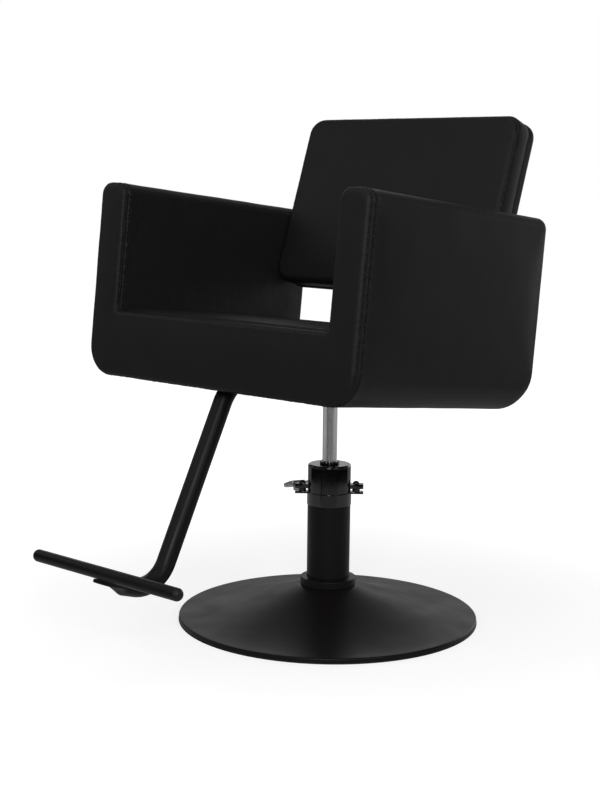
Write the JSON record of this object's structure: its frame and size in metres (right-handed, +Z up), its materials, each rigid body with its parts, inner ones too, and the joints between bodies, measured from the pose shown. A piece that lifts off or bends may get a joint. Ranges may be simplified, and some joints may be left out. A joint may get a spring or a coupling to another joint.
{
  "type": "hairdressing chair",
  "caption": "Hairdressing chair with a U-shaped padded seat, leaning backrest and footrest bar on a foot-pumped column that lifts and swivels above a round base.",
  "frame": {"origin": "on the floor under the column's axis, at the middle of the base plate's underside", "axes": "+Z up along the column, -Y the way the sitter faces, +X to the sitter's left"},
  "size_m": [0.6688, 0.8662, 0.9722],
  "materials": {
    "leatherette": "satin",
    "satin_powder_coat": "satin",
    "gloss_paint": "gloss",
    "chrome": "polished",
    "zinc_steel": "satin",
    "bronze": "satin",
    "plywood": "matte",
    "black_rubber": "matte",
    "black_plastic": "satin"
  },
  "bodies": {
    "base": {"base_plate": "zinc_steel", "edge_trim": "black_rubber", "base_dish": "satin_powder_coat", "pump_foot": "zinc_steel", "foot_bolt_1": "zinc_steel", "foot_bolt_2": "zinc_steel", "foot_bolt_3": "zinc_steel", "column_sleeve": "satin_powder_coat", "base_collar": "satin_powder_coat", "column_band": "gloss_paint", "pump_head": "gloss_paint", "ear_bolt_left": "gloss_paint", "ear_bolt_right": "gloss_paint", "rod_bush": "bronze", "rod_gland": "gloss_paint", "pump_cylinder": "zinc_steel", "pedal_pin": "zinc_steel"},
    "pedal": {"pedal_lever": "chrome", "pedal_pad": "chrome"},
    "plunger": {"pump_plunger": "zinc_steel", "plunger_spring": "zinc_steel"},
    "lift": {"piston_rod": "chrome", "piston": "zinc_steel", "piston_seal": "black_rubber", "thrust_washer": "bronze"},
    "seat": {"front_pad": "leatherette", "arm_pad_left": "leatherette", "arm_pad_right": "leatherette", "seat_cushion": "leatherette", "rear_panel": "leatherette", "back_cushion": "leatherette", "back_cover": "leatherette", "swivel_hub": "satin_powder_coat", "seat_plate": "satin_powder_coat", "back_bracket_left": "satin_powder_coat", "back_bracket_right": "satin_powder_coat", "footrest_tube": "satin_powder_coat", "foot_bar": "satin_powder_coat", "footrest_saddle": "satin_powder_coat", "plate_bolt_1": "zinc_steel", "plate_bolt_2": "zinc_steel", "plate_bolt_3": "zinc_steel", "plate_bolt_4": "zinc_steel", "bracket_bolt_left": "zinc_steel", "bracket_bolt_right": "zinc_steel", "back_bolt_left": "zinc_steel", "back_bolt_right": "zinc_steel", "saddle_bolt_1": "zinc_steel", "saddle_bolt_2": "zinc_steel", "saddle_bolt_3": "zinc_steel", "saddle_bolt_4": "zinc_steel", "seat_board": "plywood", "arm_board_left": "plywood", "arm_board_right": "plywood", "front_board": "plywood", "back_board": "plywood", "bar_cap_left": "black_plastic", "bar_cap_right": "black_plastic"}
  },
  "joints": [
    {"name": "seat_lift", "type": "slide", "parent": "base", "child": "lift", "axis": [0, 0, 1], "range_m": [-0.1, 0.045]},
    {"name": "seat_swivel", "type": "hinge", "parent": "lift", "child": "seat", "pos_m": [0, 0, 0.45], "axis": [0, 0, 1], "continuous": true},
    {"name": "pedal_pivot", "type": "hinge", "parent": "base", "child": "pedal", "pos_m": [-0.04758, 0.02098, 0.266], "axis": [-0.4035, -0.915, 0], "range_deg": [0, 16], "stiffness_Nm_per_rad": 2, "springref_deg": -22.92},
    {"name": "plunger_slide", "type": "slide", "parent": "base", "child": "plunger", "axis": [0, 0, 1], "range_m": [0, 0.0063], "deforming": ["plunger_spring"]}
  ],
  "couplings": [
    {"joint": "plunger_slide", "follows": "pedal_pivot", "m_per_rad": 0.022}
  ]
}
